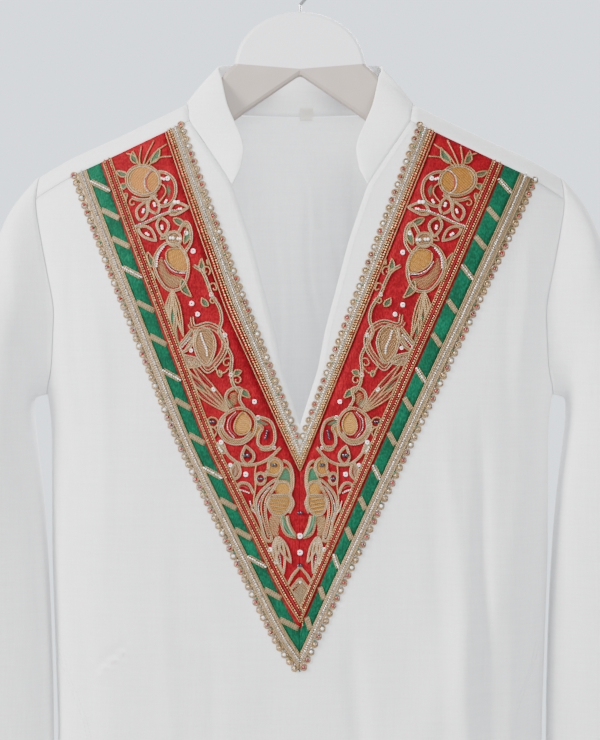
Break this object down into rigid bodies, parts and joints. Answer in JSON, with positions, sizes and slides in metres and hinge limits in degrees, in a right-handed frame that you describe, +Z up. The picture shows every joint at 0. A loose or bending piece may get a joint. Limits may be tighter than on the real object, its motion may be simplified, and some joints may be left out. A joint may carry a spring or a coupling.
{
  "type": "kurta on hanger",
  "caption": "Long-sleeved white kurta with a slit neck, band collar and V-shaped embroidered yoke, hung on a flat hanger.",
  "frame": {"origin": "point under the top of the hook where a rail carries the hanger", "axes": "+Z up, the garment's front faces -Y, its width runs along X"},
  "size_m": [0.676, 0.1321, 1.1232],
  "materials": {
    "cotton": "bright white slub cotton, plain weave",
    "red_silk": "matte red raw silk",
    "green_silk": "matte green raw silk",
    "gold_cord": "antique gold metal thread, couched",
    "bead_lace": "silver-gold metal thread lace with beads",
    "label": "cream woven tape, blank",
    "hanger": "smooth beige, pale grey head",
    "hook": "bright steel wire"
  },
  "bodies": {
    "root": {"front": "cotton", "back": "cotton", "sleeve_left": "cotton", "sleeve_right": "cotton", "collar": "cotton", "yoke_red": "red_silk", "yoke_green": "green_silk", "braid_inner": "gold_cord", "braid_outer": "gold_cord", "lace_inner": "bead_lace", "lace_outer": "bead_lace", "label": "label", "hanger": "hanger", "hook": "hook"}
  },
  "joints": []
}
